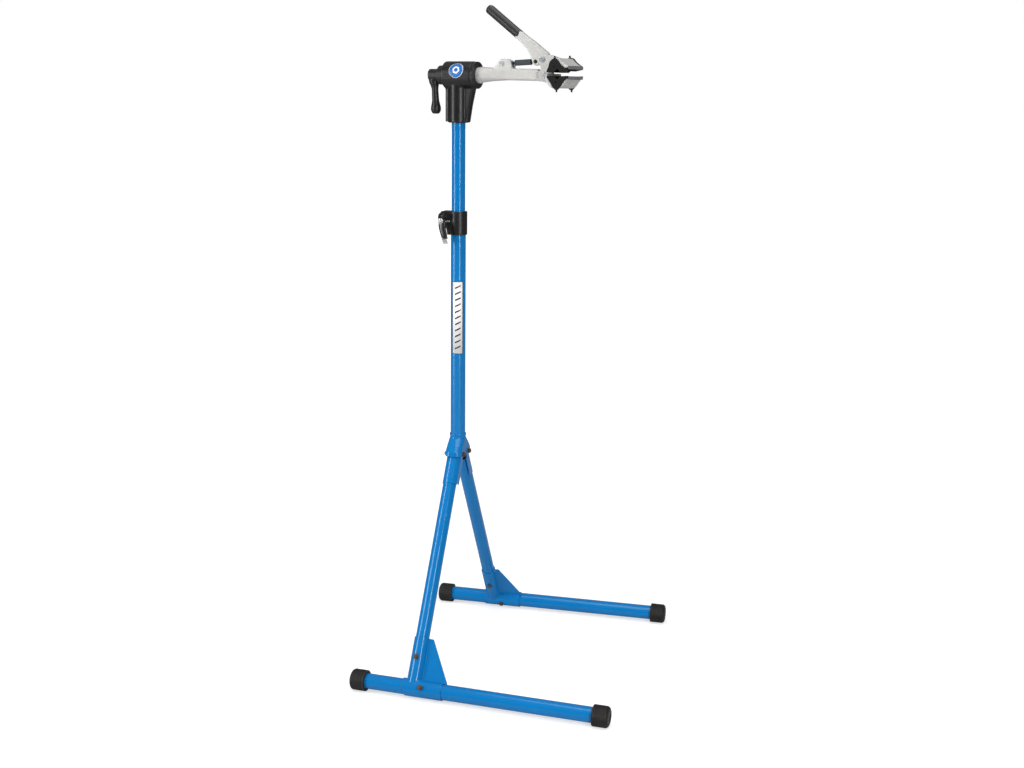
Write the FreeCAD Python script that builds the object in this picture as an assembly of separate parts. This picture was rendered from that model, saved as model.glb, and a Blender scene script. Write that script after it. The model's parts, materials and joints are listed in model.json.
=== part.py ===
import FreeCAD, Part
import math
import os

# Bike repair stand: folding A-frame base, telescoping mast, rotating toggle clamp.
# Millimetres, +Z up, floor at z = 0.  Everything is first laid out around the post's axis
# at x = y = 0; +X points to the long end of the floor tubes and to the clamp, -Y to the front.

V = FreeCAD.Vector

# ---- tubes -------------------------------------------------------------------------------
POST_R = 15.9            # lower post and floor tubes, 31.8 mm tube
THIN_R = 14.3            # upper tube and legs, 28.6 mm tube
WALL = 1.5
POST_BOTTOM = 468.0
POST_TOP = 970.0
POST_SLIT_LENGTH = 60.0

# ---- floor tubes and legs ----------------------------------------------------------------
FLOOR_Z = 21.5           # height of the floor tubes' axes
FLOOR_Y = 280.5          # half spacing of the floor tubes below the post
SPLAY = 2.06             # degrees each floor tube turns outwards towards +X
FLOOR_BACK = -138.0      # cap faces along a floor tube, from the leg
FLOOR_FRONT = 416.0
CAP_R = 21.8
CAP_LENGTH = 34.0
CAP_END_WALL = 4.0
CAP_GROOVES = 6

PIVOT_Y = 18.5           # leg pivots beside the post's axis
PIVOT_Z = 453.0
PIVOT_BOLT_R = 4.0
LEG_TOP_GAP = 18.0       # from the pivot down to the end of the leg tube
LEG_FOOT_GAP = 18.0      # from the floor tube's axis up to the leg tube's foot

SOCKET_SHEET = 1.5
SOCKET_LENGTH = 69.0
SOCKET_WEB_TOP = 9.0
SOCKET_EAR_R = 9.0

YOKE_BOTTOM = 451.0
YOKE_TOP = 496.0
YOKE_HALF_X = 18.0
YOKE_HALF_Y = 41.5
YOKE_WALL = 1.9

BRACKET_SHEET = 2.0
BRACKET_BACK = -24.0     # sleeve on the floor tube
BRACKET_FRONT = 65.0
BRACKET_HEIGHT = 104.0   # sleeve on the leg
GUSSET_TOP_X = 23.5
GUSSET_FOOT_X = 70.0
GUSSET_THICKNESS = 5.0
BRACKET_BOLT_R = 3.0
BRACKET_BOLT_ON_LEG = 61.5
BRACKET_BOLT_ON_FLOOR = 21.0

# ---- collar ------------------------------------------------------------------------------
COLLAR_BOTTOM = 926.0
COLLAR_TOP = 975.0
COLLAR_R = 18.9
SKEWER_X = -28.0
SKEWER_Z = 964.0
SKEWER_R = 2.5
EAR_END = 15.0
CAM_Y = -24.0
CAM_R = 7.6
CAM_WIDTH = 13.0

# ---- mast: the upper tube and everything above it is swivelled about the post -------------
MAST_SWIVEL = -9.0
MAST_BOTTOM = 663.3
MAST_TOP = 1222.0
HEAD_BOTTOM = 1158.0
CLAMP_Z = 1254.5         # axis the clamp turns about
BARREL_R = 28.0
BARREL_BACK = -28.0
BARREL_FRONT = 38.5
FRONT_FLANGE_END = 45.4
REAR_FLANGE_END = -43.0
SHAFT_R = 15.0
BUSHING_R = 18.0
RUNNING = 0.05           # radial clearance of the running fits

# ---- clamp, in the mast's own X (along the arm) and Z -------------------------------------
JAW_PIVOT = (202.5, 1255.1)
HANDLE_PIVOT = (193.4, 1285.8)
TOGGLE_PIN = (177.0, 1281.9)
LINK_PIN = (104.2, 1277.8)
JAW_BOLT_R = 4.0
HANDLE_PIN_R = 3.2
TOGGLE_PIN_R = 2.0
TOGGLE_HEAD_R = 3.2
LINK_PIN_R = 3.0
JAW_HALF = 36.0          # half length of the cast jaws
COVER_HALF = 38.5        # half length of the rubber covers
LINK_HALF = 3.0          # half thicknesses of the layers at the toggle
HANDLE_GAP = 3.3
HANDLE_HALF = 7.5
CHEEK_INNER = 7.8
CHEEK_OUTER = 12.0
TONGUE_HALF = 7.4
ROD_R = 2.8
HANDLE_SWING = 90.0      # degrees, and the turns that go with each degree of it
JAW_PER_HANDLE = 0.18
LINK_PER_HANDLE = 0.14

POST_X = -0.5 * (FLOOR_FRONT + FLOOR_BACK) * math.cos(math.radians(SPLAY))


# ---- shape helpers -----------------------------------------------------------------------
def rod(start, end, radius):
    """Solid round bar between two points."""
    start, end = V(*start), V(*end)
    along = end - start
    return Part.makeCylinder(radius, along.Length, start, along)


def pipe(start, end, outer, inner):
    """Round tube between two points."""
    return rod(start, end, outer).cut(rod(start, end, inner))


def cross_rod(point, half_length, radius):
    """Bar along Y through a point given as (x, z)."""
    return rod((point[0], -half_length, point[1]), (point[0], half_length, point[1]), radius)


def side_plate(outline, y_start, y_end):
    """Plate with an outline in the XZ plane, from y_start to y_end."""
    corners = [V(x, y_start, z) for x, z in outline]
    face = Part.Face(Part.makePolygon(corners + corners[:1]))
    return face.extrude(V(0, y_end - y_start, 0))


def hex_bar(start, end, across_flats):
    """Hexagonal bar between two points."""
    start, end = V(*start), V(*end)
    along = end - start
    helper = V(0, 0, 1) if abs(along.z) < 0.9 * along.Length else V(1, 0, 0)
    first = along.cross(helper).normalize()
    second = along.cross(first).normalize()
    radius = across_flats / math.sqrt(3.0)
    corners = []
    for step in range(6):
        angle = math.radians(60.0 * step)
        corners.append(start + first * (radius * math.cos(angle)) + second * (radius * math.sin(angle)))
    return Part.Face(Part.makePolygon(corners + corners[:1])).extrude(along)


def rounded_rectangle(half_x, half_y, corner, z):
    """Closed wire of four sides and four corner arcs at height z."""
    edges = []
    centres = [(1, 1, 0), (-1, 1, 90), (-1, -1, 180), (1, -1, 270)]
    arcs = []
    for sign_x, sign_y, turn in centres:
        middle = V(sign_x * (half_x - corner), sign_y * (half_y - corner), z)
        points = []
        for angle in (turn, turn + 45, turn + 90):
            bend = math.radians(angle)
            points.append(middle + V(corner * math.cos(bend), corner * math.sin(bend), 0))
        arcs.append(points)
    for index, points in enumerate(arcs):
        edges.append(Part.Arc(*points).toShape())
        edges.append(Part.makeLine(points[2], arcs[(index + 1) % 4][0]))
    return Part.Wire(edges)


def local_frame(origin, x_axis, z_axis):
    """Placement that puts local X and Z along two directions at a point."""
    x_axis = V(*x_axis).normalize()
    y_axis = V(*z_axis).cross(x_axis).normalize()
    z_axis = x_axis.cross(y_axis)
    return FreeCAD.Placement(FreeCAD.Matrix(
        x_axis.x, y_axis.x, z_axis.x, origin[0],
        x_axis.y, y_axis.y, z_axis.y, origin[1],
        x_axis.z, y_axis.z, z_axis.z, origin[2],
        0, 0, 0, 1))


def placed(shape, placement):
    moved = shape.copy()
    moved.Placement = placement.multiply(moved.Placement)
    return moved


def fused(*shapes):
    result = shapes[0]
    for shape in shapes[1:]:
        result = result.fuse(shape)
    return result.removeSplitter()


def without(shape, *tools):
    for tool in tools:
        shape = shape.cut(tool)
    return shape


parts = {}


# ---- post, yoke and pivots ---------------------------------------------------------------
def make_post():
    post = pipe((0, 0, POST_BOTTOM), (0, 0, POST_TOP), POST_R, POST_R - WALL)
    slit = Part.makeBox(10, 2, POST_SLIT_LENGTH, V(-POST_R - 5, -1, POST_TOP - POST_SLIT_LENGTH))
    return post.cut(slit)


def make_yoke():
    """Flared hollow shoe that holds the post above and the two leg sockets below."""
    bell = Part.makeLoft([
        rounded_rectangle(YOKE_HALF_X, YOKE_HALF_Y, 13.0, YOKE_BOTTOM),
        rounded_rectangle(YOKE_HALF_X, YOKE_HALF_Y - 0.8, 13.0, 460.0),
        rounded_rectangle(17.6, 31.5, 15.0, 472.5),
        rounded_rectangle(17.2, 17.2, 16.9, 487.0)], True, True)
    sleeve = rod((0, 0, 480), (0, 0, YOKE_TOP), 17.2)
    rim = rod((0, 0, YOKE_TOP - 3.5), (0, 0, YOKE_TOP), 17.9)
    inner_x = YOKE_HALF_X - YOKE_WALL
    hollow = Part.makeLoft([
        rounded_rectangle(inner_x, YOKE_HALF_Y - YOKE_WALL, 11.0, YOKE_BOTTOM - 1.0),
        rounded_rectangle(inner_x, YOKE_HALF_Y - 2.7, 11.0, 459.0),
        rounded_rectangle(inner_x, 33.0, 11.0, 466.5)], True, True)
    bore = rod((0, 0, POST_BOTTOM), (0, 0, YOKE_TOP + 1), POST_R)
    throat = rod((0, 0, 460), (0, 0, POST_BOTTOM), POST_R - WALL)
    bolt_holes = [rod((-30, side * PIVOT_Y, PIVOT_Z), (30, side * PIVOT_Y, PIVOT_Z), PIVOT_BOLT_R)
                  for side in (-1, 1)]
    return without(fused(bell, sleeve, rim), hollow, bore, throat, *bolt_holes)


def make_pivot_fasteners():
    bolts, nuts = [], []
    for side in (-1, 1):
        y = side * PIVOT_Y
        shank = rod((-YOKE_HALF_X, y, PIVOT_Z), (YOKE_HALF_X + 5.5, y, PIVOT_Z), PIVOT_BOLT_R)
        head = hex_bar((-YOKE_HALF_X - 2.6, y, PIVOT_Z), (-YOKE_HALF_X, y, PIVOT_Z), 9.6)
        bolts.append(fused(shank, head))
        nut = hex_bar((YOKE_HALF_X, y, PIVOT_Z), (YOKE_HALF_X + 4.2, y, PIVOT_Z), 9.6)
        nuts.append(nut.cut(shank))
    return Part.Compound(bolts), Part.Compound(nuts)


parts["lower_post"] = make_post()
parts["yoke"] = make_yoke()
parts["pivot_bolts"], parts["pivot_nuts"] = make_pivot_fasteners()


# ---- one leg, built for the front and mirrored for the rear --------------------------------
def make_leg():
    leg = {}
    foot = V(0, -FLOOR_Y, FLOOR_Z)
    pivot = V(0, -PIVOT_Y, PIVOT_Z)
    up = (pivot - foot).normalize()
    length = (pivot - foot).Length
    splay = math.radians(SPLAY)
    floor_direction = V(math.cos(splay), -math.sin(splay), 0)

    def on_leg(distance):
        return tuple(foot + up * distance)

    def on_floor(distance):
        return tuple(foot + floor_direction * distance)

    # the bolts lie square to the plane of the leg and the floor tube
    across = floor_direction.cross(up).normalize()
    bolt_points = [V(*on_leg(BRACKET_BOLT_ON_LEG)), V(*on_floor(BRACKET_BOLT_ON_FLOOR))]
    seats = [THIN_R + BRACKET_SHEET, POST_R + BRACKET_SHEET]
    bolts, nuts = [], []
    for point, seat in zip(bolt_points, seats):
        shank = rod(point - across * seat, point + across * (seat + 6.0), BRACKET_BOLT_R)
        head = hex_bar(point - across * (seat + 3.6), point - across * seat, 10.0)
        bolt = fused(shank, head)
        bolts.append(bolt)
        nut = hex_bar(point + across * seat, point + across * (seat + 4.6), 10.0)
        nuts.append(nut.cut(shank))
    shanks = [rod(point - across * 30, point + across * 30, BRACKET_BOLT_R) for point in bolt_points]
    leg["bracket_bolts"] = Part.Compound(bolts)
    leg["bracket_nuts"] = Part.Compound(nuts)

    tube = pipe(on_leg(LEG_FOOT_GAP), on_leg(length - LEG_TOP_GAP), THIN_R, THIN_R - WALL)
    leg["leg_tube"] = without(tube, *shanks)
    floor_tube = pipe(on_floor(FLOOR_BACK + CAP_END_WALL), on_floor(FLOOR_FRONT - CAP_END_WALL),
                      POST_R, POST_R - WALL)
    leg["floor_tube"] = without(floor_tube, *shanks)

    # sheet socket: half round outside, flat cheeks open to the inside
    socket_frame = local_frame(tuple(pivot), (1, 0, 0), tuple(up))
    outer = THIN_R + SOCKET_SHEET
    web = rod((0, 0, -SOCKET_LENGTH), (0, 0, -SOCKET_WEB_TOP), outer)
    web = web.cut(Part.makeBox(60, 60, 200, V(-30, 0, -150)))
    cheeks = Part.makeBox(2 * outer, THIN_R, SOCKET_LENGTH - 4 - SOCKET_WEB_TOP,
                          V(-outer, 0, -SOCKET_LENGTH + 4))
    ears = Part.makeBox(2 * outer, SOCKET_EAR_R + 3, SOCKET_WEB_TOP + 6,
                        V(-outer, -3, -SOCKET_WEB_TOP - 6))
    ear_ends = rod((-outer, 0, 0), (outer, 0, 0), SOCKET_EAR_R)
    inside = rod((0, 0, -SOCKET_LENGTH - 1), (0, 0, SOCKET_EAR_R + 1), THIN_R)
    inside_box = Part.makeBox(2 * THIN_R, 40, 120, V(-THIN_R, 0, -100))
    ear_gap = Part.makeBox(2 * THIN_R, 40, 40, V(-THIN_R, -20, -SOCKET_WEB_TOP))
    pin_hole = rod((-30, 0, 0), (30, 0, 0), PIVOT_BOLT_R + RUNNING)
    socket = without(fused(web, cheeks, ears, ear_ends), inside, inside_box, ear_gap, pin_hole)
    leg["leg_socket"] = placed(socket, socket_frame)

    # foot bracket: two sleeves and a flat gusset between them
    foot_frame = local_frame(tuple(foot), tuple(floor_direction), tuple(up))
    floor_sleeve = rod(on_floor(BRACKET_BACK), on_floor(BRACKET_FRONT), POST_R + BRACKET_SHEET)
    leg_sleeve = rod(on_leg(0), on_leg(BRACKET_HEIGHT), THIN_R + BRACKET_SHEET)
    gusset = side_plate([(0, 0), (BRACKET_FRONT, 0), (GUSSET_FOOT_X, POST_R + BRACKET_SHEET),
                         (GUSSET_TOP_X, BRACKET_HEIGHT - 1), (0, BRACKET_HEIGHT - 1)],
                        -0.5 * GUSSET_THICKNESS, 0.5 * GUSSET_THICKNESS)
    body = fused(floor_sleeve, leg_sleeve, placed(gusset, foot_frame))
    # slanted back edge under the leg
    wedge = side_plate([(BRACKET_BACK - 5, -30), (BRACKET_BACK + 12, -30), (BRACKET_BACK, 2),
                        (BRACKET_BACK - 5, 2)], -30, 30)
    leg["foot_bracket"] = without(
        body, rod(on_floor(-200), on_floor(200), POST_R),
        rod(on_leg(LEG_FOOT_GAP), on_leg(200), THIN_R), placed(wedge, foot_frame), *shanks)

    # ribbed rubber caps with a small flat to stand on
    floor_cut = Part.makeBox(1400, 1400, 60, V(-700, -1000, -60))
    for name, face, sign in (("back_cap", FLOOR_BACK, 1), ("front_cap", FLOOR_FRONT, -1)):
        cap = rod(on_floor(face), on_floor(face + sign * CAP_LENGTH), CAP_R)
        rim_edges = [edge for edge in cap.Edges if edge.Closed and (edge.CenterOfMass - V(*on_floor(face))).Length < 1]
        cap = cap.makeFillet(3.5, rim_edges)
        for groove in range(CAP_GROOVES):
            start = face + sign * (7.0 + 4.2 * groove)
            ring = pipe(on_floor(start), on_floor(start + sign * 1.6), CAP_R + 2, CAP_R - 0.7)
            cap = cap.cut(ring)
        bore = rod(on_floor(face + sign * CAP_END_WALL), on_floor(face + sign * 60), POST_R)
        leg[name] = without(cap, bore, floor_cut)
    return leg


for part_name, leg_shape in make_leg().items():
    parts["front_" + part_name] = leg_shape
    parts["rear_" + part_name] = leg_shape.mirror(V(0, 0, 0), V(0, 1, 0))


# ---- quick-release collar ----------------------------------------------------------------
def make_collar():
    ring = rod((0, 0, COLLAR_BOTTOM), (0, 0, COLLAR_TOP), COLLAR_R)
    ears = side_plate([(-12, COLLAR_BOTTOM), (-20, COLLAR_BOTTOM), (-22, 938), (-26, 950), (-34, 954),
                       (-36.5, 957), (-36.5, 970), (-33.5, COLLAR_TOP), (-12, COLLAR_TOP)],
                      -EAR_END, EAR_END)
    slit = Part.makeBox(40, 3, 80, V(-50, -1.5, COLLAR_BOTTOM - 10))
    post_bore = rod((0, 0, COLLAR_BOTTOM - 1), (0, 0, POST_TOP), POST_R)
    mast_bore = rod((0, 0, POST_TOP), (0, 0, COLLAR_TOP + 1), THIN_R + 0.4)
    skewer_hole = cross_rod((SKEWER_X, SKEWER_Z), 40, SKEWER_R)
    return without(fused(ring, ears), slit, post_bore, mast_bore, skewer_hole)


def make_skewer():
    """Cross bolt whose near end carries the cam lever's pin."""
    shank = rod((SKEWER_X, CAM_Y, SKEWER_Z), (SKEWER_X, EAR_END + 9, SKEWER_Z), SKEWER_R)
    eye = rod((SKEWER_X - 2.6, CAM_Y, SKEWER_Z), (SKEWER_X + 2.6, CAM_Y, SKEWER_Z), 4.6)
    pin = rod((SKEWER_X - 8.5, CAM_Y, SKEWER_Z), (SKEWER_X + 8.5, CAM_Y, SKEWER_Z), 2.0)
    return fused(shank, eye, pin)


def make_cam_lever():
    """Cam head round the skewer's eye, and the arm that hangs from it."""
    head = rod((SKEWER_X - 0.5 * CAM_WIDTH, CAM_Y, SKEWER_Z),
               (SKEWER_X + 0.5 * CAM_WIDTH, CAM_Y, SKEWER_Z), CAM_R)
    eye_slot = Part.makeBox(6.0, 2 * CAM_R + 4, CAM_R + 40,
                            V(SKEWER_X - 3.0, CAM_Y - 5.2, SKEWER_Z - 5.2))
    eye_slot = eye_slot.fuse(Part.makeBox(6.0, 20, 40, V(SKEWER_X - 3.0, CAM_Y - 20, SKEWER_Z - 1.5)))
    pin_hole = rod((SKEWER_X - 20, CAM_Y, SKEWER_Z), (SKEWER_X + 20, CAM_Y, SKEWER_Z), 2.0 + RUNNING)
    head = without(head, eye_slot, pin_hole)
    stations = [(-28.6, -24.0, 960.0, 5.8), (-30.0, -28.5, 950.0, 5.0), (-28.5, -30.5, 941.0, 4.4),
                (-24.5, -31.0, 929.0, 4.4), (-20.5, -30.5, 916.0, 5.0), (-18.5, -29.5, 908.5, 4.6)]
    sections = []
    for x, y, z, half_width in stations:
        corners = [V(x - half_width, y - 2.2, z), V(x + half_width, y - 2.2, z),
                   V(x + half_width, y + 2.2, z), V(x - half_width, y + 2.2, z)]
        sections.append(Part.makePolygon(corners + corners[:1]))
    arm = Part.makeLoft(sections, True, True)
    arm = without(arm, eye_slot, pin_hole, rod((SKEWER_X - 20, CAM_Y, SKEWER_Z),
                                               (SKEWER_X + 20, CAM_Y, SKEWER_Z), CAM_R))
    return head, arm


parts["collar"] = make_collar()
parts["collar_skewer"] = make_skewer()
skewer_nut = rod((SKEWER_X, EAR_END, SKEWER_Z), (SKEWER_X, EAR_END + 8, SKEWER_Z), 8.0)
parts["skewer_nut"] = skewer_nut.cut(cross_rod((SKEWER_X, SKEWER_Z), 40, SKEWER_R))
cam_seat = pipe((SKEWER_X, -EAR_END - 1.0, SKEWER_Z), (SKEWER_X, -EAR_END, SKEWER_Z), 7.5, SKEWER_R)
parts["cam_washer"] = cam_seat
parts["cam_head"], parts["cam_lever"] = make_cam_lever()


# ---- mast --------------------------------------------------------------------------------
mast = {}
mast["upper_tube"] = pipe((0, 0, MAST_BOTTOM), (0, 0, MAST_TOP), THIN_R, THIN_R - WALL)
plug_flange = rod((0, 0, MAST_BOTTOM - 8.3), (0, 0, MAST_BOTTOM - 0.3), POST_R - WALL - RUNNING)
plug_stem = rod((0, 0, MAST_BOTTOM - 1), (0, 0, MAST_BOTTOM + 27), THIN_R - WALL - RUNNING)
mast["tube_plug"] = fused(plug_flange, plug_stem)


def make_head():
    """Casting: sleeve on the mast, webbed up into the barrel the clamp turns in."""
    barrel = rod((BARREL_BACK, 0, CLAMP_Z), (BARREL_FRONT, 0, CLAMP_Z), BARREL_R)
    sleeve = rod((0, 0, HEAD_BOTTOM), (0, 0, CLAMP_Z), 21.0)
    web = side_plate([(-26.8, HEAD_BOTTOM + 2), (22, HEAD_BOTTOM + 2), (37.5, 1229), (37.5, CLAMP_Z),
                      (-26.8, CLAMP_Z)], -9, 9)
    front_lug = rod((17.5, 0, HEAD_BOTTOM + 2), (29.0, 0, 1228), 9.0)
    tube_bore = rod((0, 0, HEAD_BOTTOM - 1), (0, 0, MAST_TOP), THIN_R)
    shaft_bore = rod((BARREL_BACK - 1, 0, CLAMP_Z), (BARREL_FRONT + 1, 0, CLAMP_Z), BUSHING_R)
    return without(fused(barrel, sleeve, web, front_lug), tube_bore, shaft_bore)


def make_bushing(flange_end, flange_seat, spigot_end, flange_radius):
    flange = rod((flange_end, 0, CLAMP_Z), (flange_seat, 0, CLAMP_Z), flange_radius)
    spigot = rod((flange_seat, 0, CLAMP_Z), (spigot_end, 0, CLAMP_Z), BUSHING_R)
    bore = rod((-100, 0, CLAMP_Z), (100, 0, CLAMP_Z), SHAFT_R + RUNNING)
    return fused(flange, spigot).cut(bore)


mast["head_casting"] = make_head()
mast["front_bushing"] = make_bushing(FRONT_FLANGE_END, BARREL_FRONT, 14.0, 27.2)
mast["rear_bushing"] = make_bushing(REAR_FLANGE_END, BARREL_BACK, -8.0, 19.4)


# ---- arm with the fixed lower jaw ----------------------------------------------------------
def arm_section(x, half_y, z_low, z_high, corner):
    """Rounded rectangle across the arm."""
    half_z = 0.5 * (z_high - z_low)
    wire = rounded_rectangle(half_z, half_y, corner, 0)
    turn = local_frame((x, 0, 0.5 * (z_low + z_high)), (0, 0, 1), (-1, 0, 0))
    wire.Placement = turn
    return wire


LOWER_JAW = [(211, 1247.8), (216, 1238), (223, 1231.3), (228, 1229.6), (241.5, 1229.6), (246, 1231.5),
             (250.5, 1235.8), (254.6, 1241.5), (259, 1247.2), (260.5, 1248.6), (260.5, 1249.3),
             (245.5, 1249.3), (238.5, 1241.8), (231.5, 1249.3)]
LOWER_COVER_END = [(216.8, 1253.3), (219.2, 1246), (223.6, 1240), (228.3, 1231.5), (234.2, 1226.5),
                   (240.6, 1227), (244.8, 1231.4), (248, 1237.3), (254.2, 1245.4), (262, 1249.3),
                   (262, 1253.9), (259, 1253.9), (245, 1253.3), (238.5, 1246.3), (232, 1253.3)]
LOWER_LINING = [(216, 1249.3), (231.5, 1249.3), (238.5, 1241.8), (245.5, 1249.3), (260.5, 1249.3),
                (260.5, 1246.9), (262, 1246.9), (262, 1253.3), (245, 1253.3), (238.5, 1246.3),
                (232, 1253.3), (216, 1253.3)]
UPPER_JAW = [(213, 1264.3), (216, 1273), (221, 1281), (226, 1287), (236, 1288.5), (241, 1287),
             (246, 1281.8), (251, 1277.6), (256, 1274.6), (260.5, 1272), (260.5, 1270.2),
             (246, 1267), (238.5, 1273), (231, 1264.3)]
UPPER_COVER_NEAR = [(214.8, 1260.4), (216, 1264.5), (218.8, 1271), (220, 1276), (222.2, 1281.8),
                    (228, 1286.6), (231, 1288), (235, 1287.5), (237.4, 1285.7), (241.2, 1281.4),
                    (244.6, 1276.6), (251, 1271.6), (255.3, 1269), (260.5, 1265.8), (262, 1263.9),
                    (262, 1260.4), (245, 1260.4), (238.5, 1267.6), (232, 1260.4)]
UPPER_COVER_FAR = [(214.8, 1260.4), (216, 1264.5), (218.8, 1271), (220.5, 1278), (223, 1284),
                   (228, 1289), (233, 1290.6), (239, 1289.8), (243.2, 1287.8), (247.2, 1282.8),
                   (252, 1278.8), (256.8, 1275.4), (261, 1273.2), (262, 1271.6), (262, 1266.5),
                   (245.5, 1263), (238.5, 1268.5), (231.5, 1260.4)]
UPPER_LINING = [(215.5, 1260.4), (231.5, 1260.4), (238.5, 1268.5), (245.5, 1263), (262, 1266.5),
                (262, 1273.4), (260.5, 1273.4), (260.5, 1270.2), (246, 1267), (238.5, 1273),
                (231, 1264.3), (215.5, 1264.3)]


def make_arm():
    shaft = rod((REAR_FLANGE_END - 0.3, 0, CLAMP_Z), (48, 0, CLAMP_Z), SHAFT_R)
    stud = rod((-60.0, 0, CLAMP_Z), (REAR_FLANGE_END - 0.3, 0, CLAMP_Z), 5.0)
    shoulder = rod((FRONT_FLANGE_END + 0.4, 0, CLAMP_Z), (54, 0, CLAMP_Z), 16.5)
    neck = Part.makeLoft([
        arm_section(52, 16.0, 1239.4, 1271.6, 15.8),
        arm_section(80, 13.6, 1243.0, 1270.0, 10.0),
        arm_section(112, 11.0, 1244.9, 1268.8, 5.0),
        arm_section(182, 9.5, 1243.8, 1267.2, 5.0)], True, True)
    tongue = side_plate([(174, 1244.6), (196, 1242.3), (216, 1234), (224, 1234), (224, 1247.8), (215.4, 1247.8),
                         (215.4, 1255), (211, 1259), (205, 1263), (198, 1264.5), (174, 1264.5)],
                        -TONGUE_HALF, TONGUE_HALF)
    lug = side_plate([(79, 1262), (86, 1269.5), (92, 1276.5), (96.5, 1283), (101, 1286.3), (109, 1287.6),
                      (116, 1286.4), (122, 1282.6), (124.6, 1275.8), (126, 1262)], -11, 11)
    jaw = side_plate(LOWER_JAW, -JAW_HALF, JAW_HALF)
    back_wall = side_plate([(211, 1245.8), (215.4, 1245.8), (215.4, 1258.4), (212.5, 1258.4)], -JAW_HALF, JAW_HALF)
    link_slot = side_plate([(93.4, 1270), (140, 1270), (140, 1300), (93.4, 1300)],
                           -LINK_HALF - 1.4, LINK_HALF + 1.4)
    link_slot = link_slot.fuse(rod((93.4, -4.4, 1277), (93.4, 4.4, 1277), 4))
    return without(fused(shaft, stud, shoulder, neck, tongue, lug, jaw, back_wall), link_slot,
                   cross_rod(JAW_PIVOT, 40, JAW_BOLT_R + RUNNING), cross_rod(LINK_PIN, 40, LINK_PIN_R))


def make_cover(near_end, far_end, lining_outline, nubs, recess):
    """Rubber cover: gripping lining, two end walls, a nub on each and a blind hole in the near one."""
    cover = side_plate(lining_outline, -JAW_HALF, JAW_HALF)
    near_wall = side_plate(near_end, -COVER_HALF, -JAW_HALF)
    far_wall = side_plate(far_end, JAW_HALF, COVER_HALF)
    cover = fused(cover, near_wall, far_wall)
    for (x, root, tip), side in zip(nubs, (-1, 1)):
        cover = fused(cover, rod((x, side * 38.0, root), (x, side * 38.0, tip), 1.9))
    blind_hole = rod((recess[0], -COVER_HALF - 1, recess[1]), (recess[0], -JAW_HALF - 0.6, recess[1]), 1.7)
    return cover.cut(blind_hole)


def make_upper_jaw():
    cheek_outline = [(194.5, 1255.5), (186, 1281.5), (185, 1287.5), (187.8, 1293), (194.3, 1295.4),
                     (206, 1295), (216, 1292.6), (228, 1288), (228, 1268), (213, 1264.3), (209, 1260.5)]
    cheeks = side_plate(cheek_outline, -CHEEK_OUTER, CHEEK_OUTER)
    for pivot in (JAW_PIVOT, HANDLE_PIVOT):
        cheeks = cheeks.fuse(cross_rod(pivot, CHEEK_OUTER, 9.0))
    jaw = side_plate(UPPER_JAW, -JAW_HALF, JAW_HALF)
    gap = side_plate([(174, 1236), (212.5, 1236), (212.5, 1264.5), (214.5, 1273), (221, 1284), (224, 1288),
                      (224, 1312), (174, 1312)], -CHEEK_INNER, CHEEK_INNER)
    return without(fused(cheeks, jaw), gap, cross_rod(JAW_PIVOT, 40, JAW_BOLT_R),
                   cross_rod(HANDLE_PIVOT, 40, HANDLE_PIN_R))


arm = {}
arm["clamp_arm"] = make_arm()
arm["lower_jaw_cover"] = make_cover(LOWER_COVER_END, LOWER_COVER_END, LOWER_LINING,
                                    [(237.6, 1227.5, 1222.2), (237.6, 1227.5, 1222.2)], (235.5, 1241))
arm["link_pin"] = fused(cross_rod(LINK_PIN, 11, LINK_PIN_R),
                        rod((LINK_PIN[0], -13, LINK_PIN[1]), (LINK_PIN[0], -11, LINK_PIN[1]), 4.6),
                        rod((LINK_PIN[0], 11, LINK_PIN[1]), (LINK_PIN[0], 13, LINK_PIN[1]), 4.6))
arm["upper_jaw"] = make_upper_jaw()
arm["upper_jaw_cover"] = make_cover(UPPER_COVER_NEAR, UPPER_COVER_FAR, UPPER_LINING,
                                    [(232.6, 1287, 1291.6), (232.4, 1289, 1294.4)], (231.7, 1271.3))


def make_cross_bolt(point, radius, head_radius, head_height):
    """Round-headed bolt across the clamp, and its nut on the far side."""
    x, z = point
    shank = rod((x, -CHEEK_OUTER, z), (x, CHEEK_OUTER + 5, z), radius)
    head = rod((x, -CHEEK_OUTER - head_height, z), (x, -CHEEK_OUTER, z), head_radius)
    nut = hex_bar((x, CHEEK_OUTER, z), (x, CHEEK_OUTER + 4, z), 2 * head_radius - 1)
    return fused(shank, head), nut.cut(shank)


arm["jaw_bolt"], arm["jaw_nut"] = make_cross_bolt(JAW_PIVOT, JAW_BOLT_R, 6.5, 4.0)
arm["handle_bolt"], arm["handle_nut"] = make_cross_bolt(HANDLE_PIVOT, HANDLE_PIN_R, 5.4, 3.2)


# ---- handle, link and adjuster -------------------------------------------------------------
GRIP_START = (136.8, 1335.2)
GRIP_END = (73.0, 1383.8)


def make_handle():
    outline = [(175.0, 1274.6), (170.6, 1277.6), (168.3, 1284.0), (165.4, 1293.6), (159.1, 1304.8),
               (146.1, 1317.2), (136.4, 1325.8), (130.2, 1329.4), (141.8, 1342.2), (156.2, 1331.5),
               (174.1, 1320.2), (189.5, 1308.4), (198.0, 1302.6), (203.5, 1297.6), (204.6, 1291.0),
               (201.6, 1281.2), (194.0, 1276.6), (184.0, 1274.6)]
    plate = side_plate(outline, -HANDLE_HALF, HANDLE_HALF)
    tang = rod((GRIP_START[0] + 4, 0, GRIP_START[1] - 3), (GRIP_END[0] + 6, 0, GRIP_END[1] - 4.5), 6.5)
    slot = side_plate([(190.5, 1268), (190.5, 1289), (181, 1293), (171, 1293), (158, 1296), (155, 1267)],
                      -HANDLE_GAP, HANDLE_GAP)
    return without(fused(plate, tang), slot, cross_rod(HANDLE_PIVOT, 40, HANDLE_PIN_R + RUNNING),
                   cross_rod(TOGGLE_PIN, 40, TOGGLE_HEAD_R))


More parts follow.
